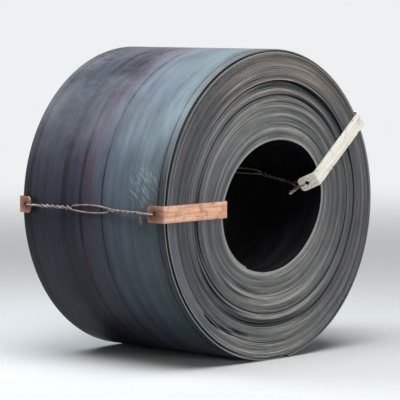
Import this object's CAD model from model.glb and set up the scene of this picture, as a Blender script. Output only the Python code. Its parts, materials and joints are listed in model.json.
import json
from math import acos, atan, atan2, cos, degrees, pi, radians, sin, sqrt, tan, tau

import bpy
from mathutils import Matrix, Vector, noise


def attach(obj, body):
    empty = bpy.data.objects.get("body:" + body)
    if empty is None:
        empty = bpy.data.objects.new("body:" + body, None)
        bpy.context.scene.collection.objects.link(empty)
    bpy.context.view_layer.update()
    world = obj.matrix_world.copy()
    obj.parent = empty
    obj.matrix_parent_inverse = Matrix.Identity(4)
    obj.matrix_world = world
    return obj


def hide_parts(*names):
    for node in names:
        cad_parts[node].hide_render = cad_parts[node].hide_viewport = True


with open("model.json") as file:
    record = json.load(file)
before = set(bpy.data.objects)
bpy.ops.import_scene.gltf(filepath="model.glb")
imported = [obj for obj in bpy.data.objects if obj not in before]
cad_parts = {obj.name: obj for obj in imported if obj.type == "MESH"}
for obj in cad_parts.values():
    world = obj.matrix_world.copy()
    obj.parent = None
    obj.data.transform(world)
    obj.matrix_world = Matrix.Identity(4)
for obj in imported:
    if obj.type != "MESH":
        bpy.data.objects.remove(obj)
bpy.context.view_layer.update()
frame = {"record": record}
bpy.ops.object.select_all(action="DESELECT")

# The camera stands in front of the coil and to its left, a little above the bore, so
# that the front end shows as a tall oval and the barrel runs away to the left.
coil_eye = next(mount for mount in frame["record"]["mounts"] if mount["name"] == "coil_eye")
axis_height = coil_eye["pos_m"][2]
camera_turn = radians(-47.0)
camera_rise = radians(4.5)
camera_distance = 9.5
picture_span = 1.50

back = Vector((sin(camera_turn) * cos(camera_rise), -cos(camera_turn) * cos(camera_rise), sin(camera_rise)))
bpy.ops.object.camera_add(location=Vector((0, 0, axis_height)) + back * camera_distance)
camera = bpy.context.object
camera.rotation_euler = back.to_track_quat("Z", "Y").to_euler()
camera.data.angle = 2 * atan(picture_span / 2 / camera_distance)
camera.data.clip_end = 200
bpy.context.scene.camera = camera

# The studio: a pale floor that fades into a pale surround, one wide soft light overhead,
# one over the far side that gives the barrel its sheen, and a small one in front.
bpy.context.scene.view_settings.view_transform = "Standard"
studio_white = (0.86, 0.87, 0.88, 1)


def new_material(name):
    """A material with nodes: the material, its node tree and its shader."""
    material = bpy.data.materials.new(name)
    material.use_nodes = True
    tree = material.node_tree
    return material, tree, tree.nodes["Principled BSDF"]


def add_node(tree, kind, inputs=None, **settings):
    """A node with its settings, and its inputs set to a value or joined to a socket."""
    node = tree.nodes.new(kind)
    for name, value in settings.items():
        setattr(node, name, value)
    for name, value in (inputs or {}).items():
        if isinstance(value, bpy.types.NodeSocket):
            tree.links.new(value, node.inputs[name])
        else:
            node.inputs[name].default_value = value
    return node


def calculate(tree, operation, *values):
    """The result of a sum on numbers or sockets."""
    return add_node(tree, "ShaderNodeMath", dict(enumerate(values)), operation=operation).outputs[0]


def fade_between(tree, value, start, end):
    """0 up to the start, 1 from the end on, and smooth in between."""
    inputs = {"Value": value, "From Min": start, "From Max": end}
    return add_node(tree, "ShaderNodeMapRange", inputs, interpolation_type="SMOOTHSTEP").outputs[0]


def seen_directly(tree):
    """1 for rays from the camera and in mirrors or glass, 0 for light that falls on things."""
    path = add_node(tree, "ShaderNodeLightPath").outputs
    seen = calculate(tree, "MAXIMUM", path["Is Camera Ray"], path["Is Glossy Ray"])
    return calculate(tree, "MAXIMUM", seen, path["Is Transmission Ray"])


def object_place(tree):
    """Where a point of the surface lies, in the object's own metres."""
    return add_node(tree, "ShaderNodeTexCoord").outputs["Object"]


world = bpy.context.scene.world or bpy.data.worlds.new("studio")
bpy.context.scene.world = world
world.use_nodes = True
tree = world.node_tree
tree.nodes.clear()
ambient = add_node(tree, "ShaderNodeBackground", {"Color": (0.80, 0.87, 1.0, 1), "Strength": 0.08})
surround = add_node(tree, "ShaderNodeBackground", {"Color": studio_white, "Strength": 1.0})
sides = {0: seen_directly(tree), 1: ambient.outputs[0], 2: surround.outputs[0]}
choice = add_node(tree, "ShaderNodeMixShader", sides)
add_node(tree, "ShaderNodeOutputWorld", {"Surface": choice.outputs[0]})

# Each light's place, what it aims at, its size, its power in watts and its colour
for name, place, aim, size, power, colour in (
    ("sky_light", (-0.8, -1.2, 5.6), (0, 0, axis_height), 4.5, 440, (0.93, 0.97, 1.0)),
    ("sheen_light", (-1.3, 1.6, 2.9), (-0.45, -0.2, 0.8), 1.6, 62, (0.86, 0.94, 1.0)),
    ("front_light", (0, -6.5, axis_height), (0, 0, axis_height), 1.0, 235, (1.0, 0.98, 0.95)),
):
    bpy.ops.object.light_add(type="AREA", location=place)
    lamp = bpy.context.object
    lamp.name = name
    lamp.rotation_euler = (Vector(place) - Vector(aim)).to_track_quat("Z", "Y").to_euler()
    lamp.data.size = size
    lamp.data.energy = power
    lamp.data.color = colour

floor_size = 60.0
floor_fade_start = 2.0
floor_fade_end = 9.0
floor_white = (0.62, 0.62, 0.61, 1)
floor_bounce = (0.06, 0.063, 0.07, 1)
bpy.ops.mesh.primitive_plane_add(size=floor_size)
floor = bpy.context.object
floor.name = "floor"
floor_material, tree, shader = new_material("pale_floor")
seen = seen_directly(tree)
tone = add_node(tree, "ShaderNodeMix", {0: seen, 6: floor_bounce, 7: floor_white}, data_type="RGBA")
tree.links.new(tone.outputs[2], shader.inputs["Base Color"])
shader.inputs["Roughness"].default_value = 0.9
far = add_node(tree, "ShaderNodeVectorMath", {0: object_place(tree)}, operation="LENGTH").outputs["Value"]
fade = calculate(tree, "MULTIPLY", fade_between(tree, far, floor_fade_start, floor_fade_end), seen)
glow = add_node(tree, "ShaderNodeEmission", {"Color": studio_white, "Strength": 1.0})
blend = add_node(tree, "ShaderNodeMixShader", {0: fade, 1: shader.outputs[0], 2: glow.outputs[0]})
tree.links.new(blend.outputs[0], tree.nodes["Material Output"].inputs["Surface"])
floor.data.materials.append(floor_material)

# The coil: one long strip of hot-rolled steel, wound tight on a mandrel. Its laps stand
# a little in or out on both ends, its bore has sagged into an oval, and where the coil
# has slackened thin gaps have opened between the laps.
bore_radius = coil_eye["dims"]["r_mm"] / 1000
half_width = coil_eye["dims"]["length_mm"] / 2000
box_margin = 0.0001
barrel_radius = axis_height - box_margin
bore_sag = 0.022
sag_angle = 23.0
edge_rounding = 0.0006

# The laps lie one pitch apart on average. The strip is a little thinner than that, and
# the rest is slack.
pitch = 0.005
strip_gauge = 0.0045

# The coil rests on its barrel and on the corner of its tail. Directions are in degrees,
# seen from the front, counterclockwise from +X.
tail_angle = -90 + degrees(acos(barrel_radius / (barrel_radius + pitch)))
head_angle = sag_angle + 225
steps_per_turn = 150
eased_steps = 7


def lap_quarters(start_radius, start_angle, sag=0.0):
    """One clockwise turn of the strip's surface as four tangent quarter arcs that grow by
    one pitch: centre, radius and first angle of each. With a sag they make an oval."""
    centre_shift = sag * (2 + sqrt(2))
    tighter = start_radius + sag - centre_shift
    wider = start_radius - sag + centre_shift
    middle = radians(start_angle - 45)
    centre = Vector((cos(middle), sin(middle))) * centre_shift
    quarters = []
    radius = tighter
    for quarter, next_radius in enumerate((wider, tighter, wider, tighter)):
        begin = start_angle - 90 * quarter
        quarters.append((centre, radius, begin))
        end = radians(begin - 90)
        next_radius += pitch / 4 * (quarter + 1)
        centre = centre - Vector((cos(end), sin(end))) * (next_radius - radius)
        radius = next_radius
    return quarters


def reach(quarters, direction, beside=0.0, away=0.0):
    """How far outwards a line meets the strip's surface, or a line this far away from the
    surface. The line runs in one direction, in degrees, and passes beside the axis."""
    outwards = Vector((cos(radians(direction)), sin(radians(direction))))
    across = Vector((-outwards.y, outwards.x))
    rounding = 1e-4
    for centre, radius, begin in quarters:
        aside = beside - centre.dot(across)
        out = centre.dot(outwards) + sqrt((radius + away) ** 2 - aside**2)
        spoke = outwards * out + across * beside - centre
        if (begin - degrees(atan2(spoke.y, spoke.x)) + rounding) % 360 <= 90 + rounding:
            return out
    return None


barrel_lap = lap_quarters(barrel_radius, tail_angle)
bore_lap = lap_quarters(bore_radius, head_angle, bore_sag)
centre, radius, begin = bore_lap[0]
head = centre + Vector((cos(radians(begin)), sin(radians(begin)))) * radius
head_direction = degrees(atan2(head.y, head.x)) % 360
lap_count = round((barrel_radius - bore_radius) / pitch)
turns = lap_count - 1 + (head_direction - tail_angle) / 360

# Gaps that have opened between laps, counted from the outside. Each is widest in one
# direction and closes towards both sides: lap, direction, how far it reaches to each
# side, width in mm. Together they take no more than a share of the slack.
open_gaps = (
    (1, 145, 60, 3.0), (2, 215, 45, 3.0), (4, 228, 40, 2.2), (12, 232, 40, 3.2), (15, 244, 30, 2.4),
    (22, 62, 62, 5.5), (24, 252, 60, 5.5), (29, 222, 40, 3.5), (32, 184, 45, 4.0), (31, 55, 45, 3.0),
    (41, 236, 35, 2.6), (47, 60, 40, 2.4), (36, 76, 30, 2.0), (52, 48, 40, 1.8), (20, 330, 70, 2.4),
    (8, 340, 60, 2.0), (27, 100, 50, 1.8), (44, 150, 60, 1.6), (56, 300, 60, 1.6), (17, 20, 50, 1.6),
    (48, 242, 20, 3.0),
)
most_opened = 0.8

# The rest of the slack is spread unevenly over all laps: more of it on one side in the
# outer laps, and more on the other side further in
loose_side = 195.0
loose_laps = 22
least_slack = 0.2
outer_slack = 1.5
inner_slack = 0.7
tightest = 0.05


def held(value):
    """The value, kept between 0 and 1."""
    return min(1.0, max(0.0, value))


def ease(share):
    """0 before the start, 1 after the end, and smooth in between."""
    share = held(share)
    return share * share * (3 - 2 * share)


def bump(distance, width):
    """1 in the middle, and 0 from this far out."""
    return cos(pi / 2 * distance / width) ** 2 if abs(distance) < width else 0.0


def lap_noise(from_outside, per_lap, *seed):
    """Noise around 0 that changes this fast along the winding."""
    return noise.noise(Vector((from_outside * per_lap, *seed)))


def gap_weights(from_outside, angle):
    """The opened gap, in metres, and the share of the fine slack outside one lap."""
    opened = 0.0
    for lap, direction, width, gap in open_gaps:
        centre = lap + (direction - tail_angle) % 360 / 360
        opened += gap / 1000 * bump(from_outside - centre, width / 360)
    slack_side = 0.5 + 0.5 * cos(radians(angle - loose_side))
    if from_outside < loose_laps:
        share = least_slack + outer_slack * slack_side
    else:
        share = least_slack + inner_slack * (1 - slack_side)
    uneven = 0.5 + lap_noise(from_outside, 1.7, 3.1, 0.5)
    return opened, share * max(uneven, tightest)


# How far out each step of the winding lies. In each direction, the laps are stacked from
# the bore outwards. The radii are kept as an even spiral and each step's shift from it.
even_radii, shifts = {}, {}
step_count = round(turns * steps_per_turn)
for column in range(steps_per_turn):
    angle = head_direction - 360 * column / steps_per_turn
    steps = range(column, step_count + 1, steps_per_turn)
    weights = [gap_weights(turns - step / steps_per_turn, angle) for step in steps[:-1]]
    wall = reach(barrel_lap, angle) - reach(bore_lap, angle)
    slack = wall - strip_gauge * len(steps)
    opened = sum(gap for gap, share in weights)
    kept = min(1.0, most_opened * slack / opened) if opened else 1.0
    spread = (slack - opened * kept) / sum(share for gap, share in weights)
    radius = reach(bore_lap, angle)
    innermost = radius - pitch * column / steps_per_turn
    for step, (gap, share) in zip(steps, weights + [(0, 0)]):
        even_radii[step] = innermost + (barrel_radius - innermost) * step / step_count
        shifts[step] = radius - even_radii[step]
        radius += strip_gauge + gap * kept + share * spread

# Each lap but the last eases over the steps that the strip's head and tail make
inner_radii = []
for step in range(step_count + 1):
    nearby = max(0, min(eased_steps, step, step_count - steps_per_turn - step))
    eased = sum(shifts[near] for near in range(step - nearby, step + nearby + 1)) / (2 * nearby + 1)
    inner_radii.append(even_radii[step] + eased)

# How far groups of laps stand back from each end, from the outside inwards: number of
# laps, and distance in mm. The laps that are left up to the bore are the last group. A
# group begins and ends in the direction of the strip's head, and its edge runs in over a
# share of a lap.
front_groups = ((1, 6), (1, 20), (10, 1.5), (10, 0.2), (1, 16), (8, 2), (1, 10), (9, 0.2), (6, 1))
back_groups = ((2, 6), (16, 0.2), (1, 12), (11, 2), (1, 7))
laps_left = (99, 0.2)
group_ramp = 0.45

# Where groups of laps have slipped further back on one side only: first and last lap,
# direction, how far it reaches to each side, distance in mm. It runs in over a share of
# a lap too.
front_hollows = (
    (22.4, 25.6, 68, 60, 9.0), (31.3, 34.2, 184, 44, 7.0), (27.2, 29.6, 226, 30, 9.0),
    (23.2, 27.2, 262, 44, 10.0), (9.2, 11.4, 231, 8, 15.0), (11.8, 13.8, 240, 6, 15.0),
    (14.0, 16.4, 249, 8, 16.0), (30.2, 32.6, 58, 42, 5.0), (46.4, 47.8, 243, 17, 6.0),
    (45.6, 48.2, 60, 36, 3.5), (39.6, 42.4, 236, 28, 4.5), (35.4, 36.8, 72, 30, 3.5),
    (18.2, 19.6, 330, 55, 3.0), (51.4, 53.0, 42, 40, 3.0), (7.2, 8.4, 345, 60, 3.0),
    (15.4, 16.8, 150, 50, 2.5), (43.2, 44.6, 290, 60, 3.0),
)
back_hollows = ((12.2, 14.6, 100, 50, 5.0), (29.2, 31.4, 300, 60, 6.0), (20.2, 21.6, 200, 70, 4.0))
hollow_ramp = 0.25

# What each end is made with, and the seed of its noise: the front is side -1
end_shapes = {-1: (front_groups, front_hollows, 1.5), 1: (back_groups, back_hollows, 5.5)}

# How far in mm the strip wanders to either side from lap to lap, and how deep the fine
# ripple of its edge is
wander = 0.8
ripple = 0.25


def set_back(groups, hollows, seed, from_outside, direction):
    """How far the strip's edge stands back from the end at this place of the winding, in
    metres, and how much of that is more than the small steps between all laps."""
    place, laps, before = 0.0, 0, None
    from_first = from_outside + lap_count - turns
    for count, distance in (*groups, laps_left):
        start = laps
        laps += count
        if from_first < laps:
            share = ease((from_first - start) / group_ramp)
            place = distance if before is None else before + (distance - before) * share
            break
        before = distance
    for first, last, centre, width, distance in hollows:
        turned = (direction - centre + 180) % 360 - 180
        lap = from_outside - turned / 360
        window = held((lap - first) / hollow_ramp + 0.5) * held((last - lap) / hollow_ramp + 0.5)
        place += distance * window * bump(turned, width)
    lap_shift = wander * (1 + lap_noise(from_outside, 1.3, seed, 0.2))
    wave = ripple * (1 + lap_noise(from_outside, 9.0, seed, 7.7))
    return (place + lap_shift + wave) / 1000, place / 1000


def select_only(item, kind, wanted):
    """Selects those vertices, edges or faces of a mesh in edit mode that are wanted."""
    bpy.ops.mesh.select_mode(type=kind)
    bpy.ops.mesh.select_all(action="DESELECT")
    bpy.ops.object.mode_set(mode="OBJECT")
    mesh = item.data
    for element in {"VERT": mesh.vertices, "EDGE": mesh.edges, "FACE": mesh.polygons}[kind]:
        element.select = wanted(element)
    bpy.ops.object.mode_set(mode="EDIT")


def edge_run(item, edge):
    """The way along an edge of a mesh, from one vertex to the other."""
    start, end = (item.data.vertices[i].co for i in edge.vertices)
    return end - start


def apply_modifier(item, kind, **settings):
    """Adds a modifier with these settings and applies it."""
    modifier = item.modifiers.new(kind.lower(), kind)
    for name, value in settings.items():
        setattr(modifier, name, value)
    bpy.ops.object.modifier_apply(modifier=modifier.name)


# The flat strip starts as one short length: a box whose long edges are rounded
step_length = tau * (bore_radius + barrel_radius) / 2 / steps_per_turn
bpy.ops.mesh.primitive_cube_add(size=1)
coil = bpy.context.object
coil.name = "wound_strip"
coil.scale = (step_length, 2 * half_width, strip_gauge)
coil.location = (step_length / 2, 0, strip_gauge / 2)
bpy.ops.object.transform_apply(location=True, rotation=True, scale=True)
bpy.ops.object.mode_set(mode="EDIT")
select_only(coil, "EDGE", lambda edge: abs(edge_run(coil, edge).x) > step_length / 2)
bpy.ops.mesh.bevel(offset=edge_rounding, segments=1)

# It is left open towards its neighbours and repeated to the strip's full length, and the
# strip's own two ends are closed
select_only(coil, "FACE", lambda face: abs(face.normal.x) > 0.9)
bpy.ops.mesh.delete(type="ONLY_FACE")
bpy.ops.object.mode_set(mode="OBJECT")
apply_modifier(coil, "ARRAY", count=step_count, use_merge_vertices=True, merge_threshold=0.0001)
bpy.ops.object.mode_set(mode="EDIT")
bpy.ops.mesh.select_mode(type="VERT")
bpy.ops.mesh.select_all(action="SELECT")
bpy.ops.mesh.fill_holes(sides=8)
bpy.ops.mesh.normals_make_consistent(inside=False)
bpy.ops.object.mode_set(mode="OBJECT")


def add_attributes(mesh, **kinds):
    """Attributes of a mesh's points, looked up once all of them are there."""
    for name, kind in kinds.items():
        mesh.attributes.new(name, kind, "POINT")
    return [mesh.attributes[name].data for name in kinds]


# Each face's material: scale on the strip's flat sides, the strip's edges on both ends,
# and the wall of the bore under the first turn
scale_slot, edge_slot, wall_slot = 0, 1, 2
first_turn = steps_per_turn * step_length
for face in coil.data.polygons:
    on_edge = abs(face.normal.y) > 0.3
    on_wall = face.normal.z < -0.9 and face.center.x < first_turn
    face.material_index = edge_slot if on_edge else wall_slot if on_wall else scale_slot

# The strip is wound. Each point keeps its place on the flat strip, how many turns it
# lies under the outside, and how far its group stands back.
flat_place, turn_count, recess = add_attributes(
    coil.data, flat_place="FLOAT_VECTOR", turn_count="FLOAT", recess="FLOAT"
)
for vertex in coil.data.vertices:
    along, across, depth = vertex.co
    step = round(along / step_length)
    turn = step / steps_per_turn
    direction = head_direction - 360 * turn
    radius = inner_radii[step] + depth
    side = -1 if across < 0 else 1
    inset, deeper = set_back(*end_shapes[side], turns - turn, direction)
    flat_place[vertex.index].vector = (along, across, depth)
    turn_count[vertex.index].value = turns - turn
    recess[vertex.index].value = deeper
    angle = radians(direction)
    vertex.co = (radius * cos(angle), across - side * inset, axis_height + radius * sin(angle))
bpy.ops.object.mode_set(mode="EDIT")
bpy.ops.mesh.select_all(action="SELECT")
bpy.ops.mesh.normals_make_consistent(inside=False)
bpy.ops.object.mode_set(mode="OBJECT")
bpy.ops.object.shade_smooth_by_angle(angle=radians(30))


def noise_at(tree, place, scale, detail=5.0, roughness=0.55):
    """A noise value at a place, from about 0.25 to 0.75."""
    inputs = {"Vector": place, "Scale": scale, "Detail": detail, "Roughness": roughness}
    return add_node(tree, "ShaderNodeTexNoise", inputs).outputs[0]


def stretched(tree, place, x, y, z):
    """A place scaled along each axis."""
    return add_node(tree, "ShaderNodeMapping", {"Vector": place, "Scale": (x, y, z)}).outputs[0]


def part_of(tree, vector, axis):
    """One coordinate of a vector."""
    return add_node(tree, "ShaderNodeSeparateXYZ", {0: vector}).outputs[axis]


def attribute(tree, name, output="Fac"):
    """An attribute of the mesh's points."""
    return add_node(tree, "ShaderNodeAttribute", attribute_name=name).outputs[output]


def facing_up(tree):
    """1 where the surface faces up, -1 where it faces down."""
    return part_of(tree, add_node(tree, "ShaderNodeNewGeometry").outputs["Normal"], "Z")


def colours(tree, value, *stops):
    """A colour ramp: stops are a position and a colour."""
    node = add_node(tree, "ShaderNodeValToRGB", {"Fac": value})
    elements = node.color_ramp.elements
    for element, (position, colour) in zip(elements, (stops[0], stops[-1])):
        element.position = position
        element.color = (*colour, 1)
    for position, colour in stops[1:-1]:
        elements.new(position).color = (*colour, 1)
    return node.outputs[0]


def mix(tree, share, first, second, how="MIX"):
    """Two colours mixed by a share."""
    inputs = {0: share}
    for socket, colour in ((6, first), (7, second)):
        inputs[socket] = (*colour, 1) if isinstance(colour, tuple) else colour
    return add_node(tree, "ShaderNodeMix", inputs, data_type="RGBA", blend_type=how).outputs[2]


def tinted(tree, share, colour, tint):
    """A colour multiplied by a tint, by a share."""
    return mix(tree, share, colour, tint, "MULTIPLY")


def finish(tree, shader, colour, roughness, height, strength, depth):
    """Joins a finish to its shader. The height raises the surface, at most by this depth."""
    tree.links.new(colour, shader.inputs["Base Color"])
    tree.links.new(roughness, shader.inputs["Roughness"])
    relief = add_node(tree, "ShaderNodeBump", {"Height": height, "Strength": strength, "Distance": depth})
    tree.links.new(relief.outputs[0], shader.inputs["Normal"])


def new_group(name, inputs, outputs):
    """A node group with its sockets: the group, its input sockets and its output node."""
    group = bpy.data.node_groups.new(name, "ShaderNodeTree")
    for direction, sockets in (("INPUT", inputs), ("OUTPUT", outputs)):
        for socket, kind in sockets.items():
            group.interface.new_socket(socket, in_out=direction, socket_type="NodeSocket" + kind)
    return group, group.nodes.new("NodeGroupInput").outputs, group.nodes.new("NodeGroupOutput")


def use_group(tree, group, **inputs):
    """A node group placed in a material: its output sockets."""
    return add_node(tree, "ShaderNodeGroup", inputs, node_tree=group).outputs


# Rust that blooms in patches, from a thin brown film to orange grains
rust_bloom, given, result = new_group(
    "rust_bloom", {"Place": "Vector", "Size": "Float", "Amount": "Float"},
    {"Mask": "Float", "Colour": "Color"},
)
patches = noise_at(rust_bloom, given["Place"], given["Size"], 9.0, 0.68)
grains = noise_at(rust_bloom, stretched(rust_bloom, given["Place"], 60, 60, 60), 1.0, 4.0)
start = calculate(rust_bloom, "SUBTRACT", 0.72, calculate(rust_bloom, "MULTIPLY", given["Amount"], 0.36))
full = calculate(rust_bloom, "ADD", start, 0.16)
mask = fade_between(rust_bloom, patches, start, full)
rust_bloom.links.new(mask, result.inputs["Mask"])
rust = colours(
    rust_bloom, grains,
    (0.35, (0.055, 0.026, 0.014)), (0.52, (0.14, 0.062, 0.03)), (0.7, (0.27, 0.125, 0.055)),
)
rust_bloom.links.new(rust, result.inputs["Colour"])

# Dust that settles on what faces up
dust_film, given, result = new_group(
    "dust_film", {"Place": "Vector", "Up": "Float", "Amount": "Float"}, {"Mask": "Float"}
)
lying = fade_between(dust_film, given["Up"], -0.1, 0.95)
broken = fade_between(dust_film, noise_at(dust_film, given["Place"], 7.0, 8.0, 0.7), 0.36, 0.68)
thick = calculate(dust_film, "MULTIPLY", calculate(dust_film, "MULTIPLY", lying, broken), given["Amount"])
dust_film.links.new(thick, result.inputs["Mask"])

# Fine scratches that run along X of the place that they are given
long_scratches, given, result = new_group(
    "long_scratches", {"Place": "Vector", "Amount": "Float"}, {"Mask": "Float"}
)
lines = noise_at(long_scratches, stretched(long_scratches, given["Place"], 3.0, 420.0, 0.0), 1.0, 3.0)
rubbed = fade_between(long_scratches, noise_at(long_scratches, given["Place"], 4.0, 4.0), 0.42, 0.62)
cut = fade_between(long_scratches, lines, 0.60, 0.72)
shown = calculate(long_scratches, "MULTIPLY", cut, rubbed)
shown = calculate(long_scratches, "MULTIPLY", shown, given["Amount"])
long_scratches.links.new(shown, result.inputs["Mask"])

# Mill scale: the blue-grey oxide skin of hot-rolled steel. It runs in bands and streaks
# along the strip, is tinted purple where it cooled last, and has scuffs and dust.
scratched_scale = (0.36, 0.38, 0.39)
dust_on_scale = (0.18, 0.19, 0.205)

# Dark lines that the mill's guides have left along the strip: how far each lies from the
# strip's middle, and its width
guide_marks = ((0.062, 0.007), (0.150, 0.010), (0.332, 0.008), (-0.05, 0.003), (-0.335, 0.003))
guide_mark_colour = (0.005, 0.006, 0.010)

# Light scuffs that slant across the barrel above the left tie's front lug
scuff_place = (-0.56, -0.245, 0.665)
scuff_reach = 0.10
scuff_slant = radians(-50)
scuff_colour = (0.36, 0.40, 0.44)

mill_scale, tree, shader = new_material("mill_scale")
flat = attribute(tree, "flat_place", "Vector")
place = object_place(tree)
across = part_of(tree, flat, "Y")
wobble = calculate(tree, "MULTIPLY_ADD", noise_at(tree, place, 2.2, 4.0), 0.26, -0.13)
band = add_node(
    tree, "ShaderNodeMapRange",
    {"Value": calculate(tree, "ADD", across, wobble), "From Min": -half_width, "From Max": half_width},
).outputs[0]
skin = colours(
    tree, band,
    (0.0, (0.09, 0.115, 0.125)), (0.1, (0.13, 0.175, 0.195)), (0.3, (0.115, 0.145, 0.180)),
    (0.46, (0.078, 0.092, 0.120)), (0.53, (0.080, 0.056, 0.086)), (0.62, (0.026, 0.028, 0.048)),
    (0.84, (0.030, 0.034, 0.052)), (1.0, (0.024, 0.026, 0.036)),
)
streaks = noise_at(tree, stretched(tree, flat, 0.7, 26.0, 1.0), 1.0, 9.0, 0.66)
streak_tone = colours(
    tree, streaks, (0.32, (0.62, 0.62, 0.66)), (0.5, (0.96, 0.96, 0.96)), (0.68, (1.36, 1.36, 1.34))
)
skin = tinted(tree, 0.85, skin, streak_tone)
blotches = noise_at(tree, stretched(tree, flat, 2.4, 5.0, 1.0), 1.0, 9.0, 0.62)
blotch_tone = colours(
    tree, blotches, (0.36, (0.42, 0.42, 0.46)), (0.5, (1.0, 1.0, 1.0)), (0.66, (1.35, 1.36, 1.34))
)
skin = tinted(tree, 0.85, skin, blotch_tone)

waver = calculate(tree, "MULTIPLY_ADD", noise_at(tree, place, 3.0, 2.0), 0.02, -0.01)
wavering = calculate(tree, "ADD", across, waver)
faint = fade_between(tree, noise_at(tree, place, 5.0), 0.20, 0.50)
for distance, width in guide_marks:
    off = calculate(tree, "ABSOLUTE", calculate(tree, "SUBTRACT", wavering, distance))
    line = fade_between(tree, off, 2.0 * width, 0.5 * width)
    skin = mix(tree, calculate(tree, "MULTIPLY", line, faint), skin, guide_mark_colour)
from_scuffs = add_node(tree, "ShaderNodeVectorMath", {0: place, 1: scuff_place}, operation="DISTANCE")
near_scuffs = fade_between(tree, from_scuffs.outputs["Value"], scuff_reach, scuff_reach / 5)
slanted = add_node(tree, "ShaderNodeMapping", {"Vector": place, "Rotation": (scuff_slant, 0, 0)}).outputs[0]
strokes = fade_between(tree, noise_at(tree, stretched(tree, slanted, 20, 26, 240), 1.0, 5.0), 0.47, 0.62)
skin = mix(tree, calculate(tree, "MULTIPLY", strokes, near_scuffs), skin, scuff_colour)
scratched = use_group(tree, long_scratches, Place=flat, Amount=0.5)["Mask"]
skin = mix(tree, scratched, skin, scratched_scale)
rusted = use_group(tree, rust_bloom, Place=place, Size=5.0, Amount=0.32)
skin = mix(tree, calculate(tree, "MULTIPLY", rusted["Mask"], 0.55), skin, rusted["Colour"])
dusty = use_group(tree, dust_film, Place=place, Up=facing_up(tree), Amount=0.45)["Mask"]
skin = mix(tree, dusty, skin, dust_on_scale)
shader.inputs["Metallic"].default_value = 0.1
shader.inputs["Specular IOR Level"].default_value = 0.2
undusted = calculate(tree, "MULTIPLY_ADD", blotches, -0.5, 0.70)
roughness = calculate(tree, "MULTIPLY_ADD", dusty, 0.3, undusted)
pits = calculate(tree, "MULTIPLY_ADD", noise_at(tree, place, 140.0, 4.0), 0.3, streaks)
finish(tree, shader, skin, roughness, pits, strength=0.25, depth=0.002)

# The wall of the bore: the strip's first turn, sooty and dull where the mandrel held it
bore_scale, tree, shader = new_material("bore_scale")
place = object_place(tree)
streaks = noise_at(tree, stretched(tree, place, 3.0, 14.0, 3.0), 1.0, 7.0, 0.62)
soot = colours(
    tree, streaks,
    (0.36, (0.002, 0.002, 0.003)), (0.52, (0.007, 0.007, 0.009)), (0.68, (0.018, 0.017, 0.018)),
)
rusted = use_group(tree, rust_bloom, Place=place, Size=5.0, Amount=0.30)
soot = mix(tree, calculate(tree, "MULTIPLY", rusted["Mask"], 0.12), soot, rusted["Colour"])
shader.inputs["Specular IOR Level"].default_value = 0.06
roughness = calculate(tree, "MULTIPLY_ADD", streaks, 0.3, 0.65)
finish(tree, shader, soot, roughness, streaks, strength=0.2, depth=0.002)

# The strip's edges: left as rolled, greyer and rougher than the scale. Each lap has its
# own tone, laps that stand back hold grime, and the upper laps are brown with rust.
side_tint = (0.42, 0.42, 0.46)
brown_tint = (1.12, 0.90, 0.72)
blue_tint = (0.86, 0.93, 1.06)
grime_tint = (0.22, 0.22, 0.24)
dust_on_edges = (0.36, 0.35, 0.33)
rubbed_rim = (0.36, 0.36, 0.35)

strip_edge, tree, shader = new_material("strip_edge")
turn = attribute(tree, "turn_count")
depth = attribute(tree, "recess")
place = object_place(tree)
x = part_of(tree, place, "X")
z = part_of(tree, place, "Z")
ring_place = add_node(tree, "ShaderNodeCombineXYZ", {0: turn, 1: x, 2: z}).outputs[0]
wide_rings = noise_at(tree, stretched(tree, ring_place, 0.30, 1.3, 1.3), 1.0, 3.0, 0.6)
fine_rings = noise_at(tree, stretched(tree, ring_place, 1.7, 3.5, 3.5), 1.0, 3.0, 0.6)
rings = calculate(tree, "MULTIPLY_ADD", wide_rings, 0.56, calculate(tree, "MULTIPLY", fine_rings, 0.44))
steel = colours(
    tree, rings,
    (0.37, (0.030, 0.031, 0.034)), (0.46, (0.105, 0.106, 0.108)),
    (0.54, (0.18, 0.18, 0.175)), (0.64, (0.36, 0.355, 0.34)),
)
out_to_side = fade_between(tree, calculate(tree, "ABSOLUTE", x), 0.08, 0.44)
steel = tinted(tree, out_to_side, steel, side_tint)
upper = fade_between(tree, z, 0.62, 1.08)
outer_laps = fade_between(tree, turn, 44.0, 4.0)
brown_side = calculate(tree, "MULTIPLY", upper, outer_laps)
steel = tinted(tree, calculate(tree, "MULTIPLY", brown_side, 0.6), steel, brown_tint)
blue_side = fade_between(tree, x, -0.1, -0.55)
steel = tinted(tree, calculate(tree, "MULTIPLY", blue_side, 0.6), steel, blue_tint)
along_rings = stretched(tree, ring_place, 0.15, 1.0, 1.0)
rusted = use_group(tree, rust_bloom, Place=along_rings, Size=6.0, Amount=0.45)
steel = mix(tree, calculate(tree, "MULTIPLY", rusted["Mask"], 0.4), steel, rusted["Colour"])
dusty = use_group(tree, dust_film, Place=place, Up=facing_up(tree), Amount=0.6)["Mask"]
steel = mix(tree, dusty, steel, dust_on_edges)
steel = tinted(tree, fade_between(tree, depth, 0.0015, 0.008), steel, grime_tint)
bore_rim = fade_between(tree, turn, turns - 2.2, turns - 1.2)
barrel_rim = fade_between(tree, turn, 3.4, 2.2)
rims = calculate(tree, "MAXIMUM", bore_rim, barrel_rim)
steel = mix(tree, calculate(tree, "MULTIPLY", rims, 0.45), steel, rubbed_rim)
shader.inputs["Metallic"].default_value = 0.15
grain = noise_at(tree, place, 260.0, 5.0, 0.7)
roughness = calculate(tree, "MULTIPLY_ADD", grain, 0.4, 0.38)
finish(tree, shader, steel, roughness, grain, strength=0.4, depth=0.001)

# In the order of the slots that the faces were given
for material in (mill_scale, strip_edge, bore_scale):
    coil.data.materials.append(material)

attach(coil, "root")
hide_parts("coil")
bpy.ops.object.select_all(action="DESELECT")

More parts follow.
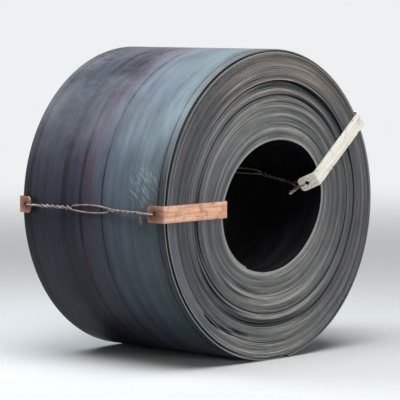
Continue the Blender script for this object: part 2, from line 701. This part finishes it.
# The saddle plates: lengths of flat bar that lie across the laps on both ends, bent over
# the barrel's edge and into the bore, each lug punched with an eye. They keep the wire
# off the strip's edges. The right ones' lugs in the bore are bent over only halfway.
plate_width = 0.060
plate_thickness = 0.005
plate_bend = 0.005
lug_length = 0.070
lug_flare = radians(10)
lug_corner = 0.014
eye_radius = 0.011
eye_from_tip = 0.028
lug_gap = 0.006
bar_rounding = 0.0007
bend_radius = plate_bend + plate_thickness / 2

# How finely the bar is cut before it is bent: pieces to a bend, and the length of a
# piece elsewhere
bend_pieces = 8
piece_length = 0.030

# Each tie: the direction in which its plates point outwards, how far their middle line
# passes beside the bore's axis, and how far their lugs in the bore lean off the wall
ties = {"left": (180.0, 0.0, radians(10)), "right": (40.0, -0.090, radians(40))}


def lug_places(direction, offset):
    """Where the outer and the bore lug's middle planes leave the plate."""
    edges = (offset - plate_width / 2, offset, offset + plate_width / 2)
    off_surface = lug_gap + plate_thickness / 2
    outer = max(reach(barrel_lap, direction, edge) for edge in edges) + off_surface
    inner = min(reach(bore_lap, direction, edge) for edge in edges) - off_surface
    return outer, inner


def tie_point(direction, out, beside, along):
    """A place given outwards from the axis in the tie's direction, beside it and along it."""
    turned = radians(direction)
    x = cos(turned) * out - sin(turned) * beside
    z = sin(turned) * out + cos(turned) * beside
    return Vector((x, along, axis_height + z))


def on_lug(lug, side, flare, from_bend):
    """A point of a lug's middle plane, this far from its bend: out, and along the axis. The
    lug is the outer one (side 1) or the one in the bore (side -1)."""
    out = lug + side * from_bend * sin(flare)
    return out, half_width + plate_thickness / 2 - from_bend * cos(flare)


def bar_runs(direction, offset, bore_flare):
    """The flat bar's straight lengths and bends, from the bore lug's tip to the outer one's."""
    outer, inner = lug_places(direction, offset)
    turns_over = [pi / 2 - flare for flare in (bore_flare, lug_flare)]
    rooms = [bend_radius * tan(turn / 2) for turn in turns_over]
    lugs = [(lug_length - room, 0) for room in rooms]
    bends = [(bend_radius * turn, turn) for turn in turns_over]
    return lugs[0], bends[0], (outer - inner - sum(rooms), 0), bends[1], lugs[1]


def bent_place(runs, inner, bore_flare, along, depth):
    """Where a point of the flat bar lies once it is bent: out from the axis, and along it."""
    heading = pi / 2 - bore_flare
    out, end = on_lug(inner, -1, bore_flare, lug_length)
    for length, turn in runs:
        part = min(along, length)
        if turn:
            turned = turn * part / length
            out += bend_radius * (sin(heading) - sin(heading - turned))
            end += bend_radius * (cos(heading - turned) - cos(heading))
            heading -= turned
        else:
            out += part * cos(heading)
            end += part * sin(heading)
        along -= part
        if along <= 0:
            break
    return out - depth * sin(heading), end + depth * cos(heading)


def cuts_across(runs, eyes):
    """Where the flat bar is cut into pieces so that it can bend: through the middle of each
    eye, and nowhere else near it."""
    cuts = list(eyes)
    start = 0.0
    for length, turn in runs:
        pieces = bend_pieces if turn else max(1, round(length / piece_length))
        between = range(pieces + 1) if turn else range(1, pieces)
        cuts += [start + length * piece / pieces for piece in between]
        start += length
    clear = 1.4 * eye_radius
    return sorted(cut for cut in cuts if all(cut == eye or abs(cut - eye) > clear for eye in eyes))


def round_off(bar, places, size, segments, profile):
    """Bevels the bar's vertices at these places: a corner turns into an arc, and a point
    inside the bar into a patch."""
    select_only(bar, "VERT", lambda vertex: any((vertex.co - place).length < 1e-5 for place in places))
    bpy.ops.mesh.bevel(affect="VERTICES", offset=size, segments=segments, profile=profile)


def punch(bar, centres):
    """Opens the patch around each centre into a round eye."""
    near = eye_radius / 4
    select_only(bar, "FACE", lambda face: any((face.center - centre).length < near for centre in centres))
    bpy.ops.object.mode_set(mode="OBJECT")
    for centre in centres:
        for vertex in bar.data.vertices:
            if (vertex.co - centre).length < 1.1 * eye_radius:
                vertex.co = centre + (vertex.co - centre).normalized() * eye_radius
    bpy.ops.object.mode_set(mode="EDIT")
    bpy.ops.mesh.delete(type="FACE")
    bpy.ops.object.mode_set(mode="OBJECT")


def flat_bar(name, runs):
    """The bar before it is bent: cut to length, its corners rounded and its eyes punched."""
    total = sum(length for length, turn in runs)
    bpy.ops.mesh.primitive_plane_add(size=1, location=(total / 2, 0, 0))
    bar = bpy.context.object
    bar.name = name
    bar.scale = (total, plate_width, 1)
    bpy.ops.object.transform_apply(location=True, rotation=True, scale=True)
    bpy.ops.object.mode_set(mode="EDIT")
    eyes = (eye_from_tip, total - eye_from_tip)
    for cut in cuts_across(runs, eyes):
        bpy.ops.mesh.select_all(action="SELECT")
        bpy.ops.mesh.bisect(plane_co=(cut, 0, 0), plane_no=(1, 0, 0))
    for cut in (-plate_width / 4, 0, plate_width / 4):
        bpy.ops.mesh.select_all(action="SELECT")
        bpy.ops.mesh.bisect(plane_co=(0, cut, 0), plane_no=(0, 1, 0))
    corners = [Vector((x, y, 0)) for x in (0, total) for y in (-plate_width / 2, plate_width / 2)]
    centres = [Vector((eye, 0, 0)) for eye in eyes]
    round_off(bar, corners, lug_corner, segments=6, profile=0.5)
    round_off(bar, centres, eye_radius, segments=5, profile=0.25)
    punch(bar, centres)
    apply_modifier(bar, "SOLIDIFY", thickness=plate_thickness, offset=0)
    apply_modifier(
        bar, "BEVEL", width=bar_rounding, segments=2, limit_method="ANGLE", angle_limit=radians(50)
    )
    return bar


# What shows where the primer is gone, and what rust and dust make of it
bare_steel = (0.05, 0.045, 0.045)
rusty_steel = (0.17, 0.08, 0.045)
stain_tint = (0.55, 0.36, 0.26)
dust_on_paint = (0.45, 0.43, 0.40)


def paint_bar(name, paint, worn_paint, grime, rust_amount, eye_rust):
    """Thin primer on flat bar: brushed, chipped along the edges, rusty round the eyes."""
    material, tree, shader = new_material(name)
    flat = attribute(tree, "flat_place", "Vector")
    place = object_place(tree)
    across = part_of(tree, flat, "Y")
    brushed = noise_at(tree, stretched(tree, flat, 6.0, 90.0, 1.0), 1.0, 6.0)
    coat = mix(tree, fade_between(tree, brushed, 0.36, 0.64), worn_paint, paint)
    smears = noise_at(tree, stretched(tree, flat, 14.0, 26.0, 10.0), 1.0, 8.0, 0.65)
    coat = mix(tree, fade_between(tree, smears, 0.52, 0.74), coat, grime)
    edge = fade_between(tree, calculate(tree, "ABSOLUTE", across), 0.40 * plate_width, 0.5 * plate_width)
    chips = noise_at(tree, place, 120.0, 6.0, 0.7)
    chipped = fade_between(tree, calculate(tree, "MULTIPLY_ADD", edge, 0.07, chips), 0.61, 0.67)
    bare = mix(tree, fade_between(tree, noise_at(tree, place, 40.0), 0.4, 0.6), bare_steel, rusty_steel)
    coat = mix(tree, chipped, coat, bare)
    along_bar = stretched(tree, flat, 3.0, 0.8, 1.0)
    scratched = use_group(tree, long_scratches, Place=along_bar, Amount=0.6)["Mask"]
    coat = mix(tree, scratched, coat, bare)
    rusted = use_group(tree, rust_bloom, Place=place, Size=22.0, Amount=rust_amount)
    near_eye = fade_between(tree, attribute(tree, "near_eye"), 0.0, 0.7)
    run_off = calculate(tree, "MULTIPLY", near_eye, eye_rust)
    stained = calculate(tree, "MAXIMUM", calculate(tree, "MULTIPLY", rusted["Mask"], 0.6), run_off)
    stain = mix(tree, 0.6, rusted["Colour"], tinted(tree, 1.0, coat, stain_tint))
    coat = mix(tree, stained, coat, stain)
    dusty = use_group(tree, dust_film, Place=place, Up=facing_up(tree), Amount=0.5)["Mask"]
    coat = mix(tree, dusty, coat, dust_on_paint)
    roughness = calculate(tree, "MULTIPLY_ADD", brushed, 0.3, 0.42)
    height = calculate(tree, "SUBTRACT", calculate(tree, "MULTIPLY", brushed, 0.4), chipped)
    finish(tree, shader, coat, roughness, height, strength=0.5, depth=0.0006)
    return material


tan_primer = paint_bar(
    "tan_primer", paint=(0.80, 0.47, 0.32), worn_paint=(0.58, 0.30, 0.19), grime=(0.36, 0.18, 0.12),
    rust_amount=0.60, eye_rust=1.0,
)
cream_primer = paint_bar(
    "cream_primer", paint=(0.88, 0.85, 0.78), worn_paint=(0.74, 0.70, 0.62), grime=(0.48, 0.44, 0.38),
    rust_amount=0.25, eye_rust=0.25,
)
paints = {"left": ("tan_plate", tan_primer), "right": ("cream_plate", cream_primer)}

# The pattern of the paint is shifted between front and back, so that the two differ, and
# rust has run this far from the eyes
pattern_shift = 2.0
stain_reach = 0.05
for name, (direction, offset, bore_flare) in ties.items():
    slot, paint = paints[name]
    outer, inner = lug_places(direction, offset)
    runs = bar_runs(direction, offset, bore_flare)
    total = sum(length for length, turn in runs)
    for end, side in (("front", -1), ("back", 1)):
        plate = flat_bar(f"saddle_{end}_{name}", runs)
        flat_place, near_eye = add_attributes(plate.data, flat_place="FLOAT_VECTOR", near_eye="FLOAT")
        for vertex in plate.data.vertices:
            along, across, depth = vertex.co
            flat_place[vertex.index].vector = (along + pattern_shift * side, across, depth)
            from_eye = (Vector((total - eye_from_tip, 0)) - Vector((along, across))).length
            near_eye[vertex.index].value = max(0.0, 1 - from_eye / stain_reach)
            out, from_middle = bent_place(runs, inner, bore_flare, along, depth)
            vertex.co = tie_point(direction, out, offset + across, side * from_middle)
        bpy.ops.object.mode_set(mode="EDIT")
        bpy.ops.mesh.select_all(action="SELECT")
        bpy.ops.mesh.remove_doubles(threshold=0.00001)
        bpy.ops.mesh.normals_make_consistent(inside=False)
        bpy.ops.object.mode_set(mode="OBJECT")
        bpy.ops.object.shade_smooth_by_angle(angle=radians(35))
        plate.data.materials.append(paint)
        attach(plate, "root")
        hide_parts(f"tie_plate_{end}_{name}")
        bpy.ops.object.select_all(action="DESELECT")

# The tie wires: soft annealed rod, looped through the eyes of the front and back plates.
# Both strands are twisted together near each end and lie side by side in the middle. The
# rod's own two ends are twisted into a short tail at the front.
wire_radius = 0.0035
wire_clearance = 0.0006
side_by_side = 1.05 * wire_radius
point_spacing = 0.0075

# A wire from the coil's middle to an eye: its two strands lie apart on the steel, draw
# together, rise off it, twist, and part again near the lug's tip. What starts and ends is
# measured from the coil's middle.
strand_spread = 0.027
closing_starts = 0.010
closing_ends = 0.150
rising_starts = 0.060
twist_starts = 0.090
twist_count = 3.25
parting_length = 0.040
past_tip = 0.006

annealed_rod, tree, shader = new_material("annealed_rod")
place = object_place(tree)
mottled = noise_at(tree, place, 26.0, 6.0, 0.65)
skin = colours(
    tree, mottled, (0.35, (0.10, 0.075, 0.07)), (0.5, (0.24, 0.18, 0.155)), (0.66, (0.40, 0.33, 0.29))
)
rusted = use_group(tree, rust_bloom, Place=place, Size=18.0, Amount=0.6)
skin = mix(tree, calculate(tree, "MULTIPLY", rusted["Mask"], 0.8), skin, rusted["Colour"])
shader.inputs["Metallic"].default_value = 0.3
roughness = calculate(tree, "MULTIPLY_ADD", mottled, 0.5, 0.25)
finish(tree, shader, skin, roughness, noise_at(tree, place, 300.0), strength=0.3, depth=0.0005)


def rod_along(name, points, closed):
    """A round rod along a smooth line, as a mesh."""
    bpy.ops.curve.primitive_nurbs_path_add()
    rod = bpy.context.object
    rod.name = name
    rod.data.splines.clear()
    spline = rod.data.splines.new("NURBS")
    spline.points.add(len(points) - 1)
    for control, point in zip(spline.points, points):
        control.co = (*point, 1)
    spline.order_u = 3
    spline.use_cyclic_u = closed
    spline.use_endpoint_u = not closed
    rod.data.dimensions = "3D"
    rod.data.resolution_u = 3
    rod.data.bevel_depth = wire_radius
    rod.data.bevel_resolution = 2
    rod.data.use_fill_caps = True
    bpy.ops.object.convert(target="MESH")
    bpy.ops.object.shade_smooth_by_angle(angle=radians(50))
    return rod


def wire_loop(direction, offset, side, flare):
    """The closed line of a wire through the front and back eyes, on the barrel (side 1) or
    in the bore (side -1). One strand goes over each lug's tip, and the other under it."""
    outer, inner = lug_places(direction, offset)
    lug, surface = (outer, barrel_lap) if side > 0 else (inner, bore_lap)
    off_lug = side * (plate_thickness / 2 / cos(flare) + wire_radius)
    tip_out, tip = on_lug(lug, side, flare, lug_length)
    eye_out, rim = on_lug(lug, side, flare, lug_length - eye_from_tip + eye_radius)
    eye = rim + plate_thickness / 2 * sin(flare) + wire_clearance + wire_radius
    last = tip - past_tip
    over, under = tip_out + off_lug, eye_out - off_lug
    off_wire = side * (wire_clearance + wire_radius)
    lying, lying_twisted = (reach(surface, direction, offset, off_wire * count) for count in (1, 2))

    def strand(which, along):
        """A point of one strand: out, beside the axis and along it."""
        closing = ease((along - closing_starts) / (closing_ends - closing_starts))
        parting = ease((along - last + parting_length) / parting_length)
        rising = max(0.0, (along - rising_starts) / (last - rising_starts))
        apart = strand_spread / 2 + (side_by_side - strand_spread / 2) * closing
        apart += (abs(over - under) / 2 - apart) * parting
        middle = lying + (lying_twisted - lying) * closing
        middle += ((over + under) / 2 - middle) * rising
        turned = (along - twist_starts) / (last - parting_length - twist_starts)
        angle = tau * twist_count * held(turned)
        return middle + which * side * apart * sin(angle), offset + which * apart * cos(angle), along

    steps = round(last / point_spacing)
    strands = [[strand(which, last * step / steps) for step in range(steps + 1)] for which in (1, -1)]
    half = strands[0] + [(eye_out + off_lug, offset, eye), (under, offset, eye)] + strands[1][::-1]
    loop = [tie_point(direction, out, beside, -along) for out, beside, along in half]
    return loop + [tie_point(direction, out, beside, along) for out, beside, along in half[::-1][1:-1]]


# A tail's three points are each given off the coil's surface, beside the wire and along
# the axis, from the coil's middle towards the front
tail_steps = 14
tail_twists = 1.6
tails = {
    "outer_left": ((0.0165, 0.000, 0.262), (0.018, 0.018, 0.262), (0.0085, 0.038, 0.254)),
    "outer_right": ((0.0185, 0.000, 0.226), (0.017, 0.018, 0.216), (0.0085, 0.040, 0.200)),
    "bore_left": ((0.0165, 0.000, 0.222), (0.016, -0.016, 0.208), (0.0085, -0.036, 0.192)),
    "bore_right": ((0.058, -0.006, 0.306), (0.070, -0.012, 0.290), (0.088, -0.016, 0.272)),
}


def wire_tail(name, direction, offset, side, bends):
    """Makes the rod's two ends, twisted together along a smooth bend of three points, and
    leaves them selected as one mesh."""
    surface = barrel_lap if side > 0 else bore_lap
    corners = []
    for off, beside, along in bends:
        out = reach(surface, direction, offset + beside) + side * off
        corners.append(tie_point(direction, out, offset + beside, -along))
    sideways = (corners[2] - corners[0]).orthogonal().normalized()
    upwards = (corners[2] - corners[0]).cross(sideways).normalized()
    pieces = []
    for which in (0, pi):
        points = []
        for step in range(tail_steps + 1):
            share = step / tail_steps
            bend = corners[0].lerp(corners[1], share).lerp(corners[1].lerp(corners[2], share), share)
            angle = which + tau * tail_twists * share
            points.append(bend + (sideways * cos(angle) + upwards * sin(angle)) * side_by_side)
        pieces.append(rod_along(name, points, False))
    pieces[0].select_set(True)
    bpy.ops.object.join()


for name, (direction, offset, bore_flare) in ties.items():
    for kind, side, flare in (("outer", 1, lug_flare), ("bore", -1, bore_flare)):
        wire = rod_along(f"{kind}_rod_{name}", wire_loop(direction, offset, side, flare), True)
        wire_tail(f"{kind}_tail_{name}", direction, offset, side, tails[f"{kind}_{name}"])
        wire.select_set(True)
        bpy.context.view_layer.objects.active = wire
        bpy.ops.object.join()
        wire.data.materials.append(annealed_rod)
        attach(wire, "root")
        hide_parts(f"{kind}_wire_{name}")
        bpy.ops.object.select_all(action="DESELECT")
